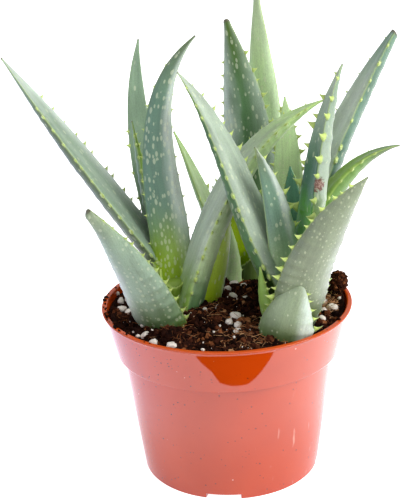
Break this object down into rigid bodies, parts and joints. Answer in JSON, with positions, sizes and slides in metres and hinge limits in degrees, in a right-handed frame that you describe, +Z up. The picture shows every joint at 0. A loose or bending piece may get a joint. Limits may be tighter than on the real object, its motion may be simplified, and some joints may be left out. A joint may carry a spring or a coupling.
{
  "type": "potted aloe plant",
  "caption": "Spiky succulent in a tapered plastic nursery pot: rosettes of thick, tapering, toothed leaves rising from potting soil dotted with white grains.",
  "frame": {"origin": "the point of the pot's axis on the surface that the pot stands on, at the flat pad in the middle of its underside", "axes": "+Z up along the pot's axis, +X to the right and +Y away from the viewer when the plant is seen from its front"},
  "size_m": [0.181, 0.12, 0.2205],
  "materials": {
    "pot": "satin terracotta-coloured moulded plastic",
    "soil": "rough dark peat with reddish fibres",
    "leaf": "smooth waxy grey-green skin with pale spots and yellow-green toothed margins",
    "stem": "smooth yellow-green leaf bases",
    "perlite": "dull porous white"
  },
  "bodies": {
    "root": {"clod": "soil", "leaf_a1_front_low": "leaf", "leaf_a2_arching": "leaf", "leaf_a3_tall_curled": "leaf", "leaf_a4_far_left": "leaf", "leaf_a5_slim": "leaf", "leaf_a6_rear_upright": "leaf", "leaf_a7_short_green": "leaf", "leaf_b1_stub": "leaf", "leaf_b2_short_channel": "leaf", "leaf_b3_left_leaning": "leaf", "leaf_b4_broad_tall": "leaf", "leaf_b5_tallest": "leaf", "leaf_c10_rear_pale": "leaf", "leaf_c1_front_stub": "leaf", "leaf_c2_front_broad": "leaf", "leaf_c3_low_left": "leaf", "leaf_c4_long_leaning": "leaf", "leaf_c5_young_centre": "leaf", "leaf_c6_upright_channel": "leaf", "leaf_c7_right_reaching": "leaf", "leaf_c8_far_right": "leaf", "leaf_c9_inner_dark": "leaf", "perlite_01": "perlite", "perlite_02": "perlite", "perlite_03": "perlite", "perlite_04": "perlite", "perlite_05": "perlite", "perlite_06": "perlite", "perlite_07": "perlite", "perlite_08": "perlite", "perlite_09": "perlite", "perlite_10": "perlite", "perlite_11": "perlite", "perlite_12": "perlite", "perlite_13": "perlite", "perlite_14": "perlite", "perlite_15": "perlite", "perlite_16": "perlite", "perlite_17": "perlite", "perlite_18": "perlite", "perlite_19": "perlite", "pot": "pot", "soil": "soil", "stem_back": "stem", "stem_left": "stem", "stem_right": "stem"}
  },
  "joints": []
}
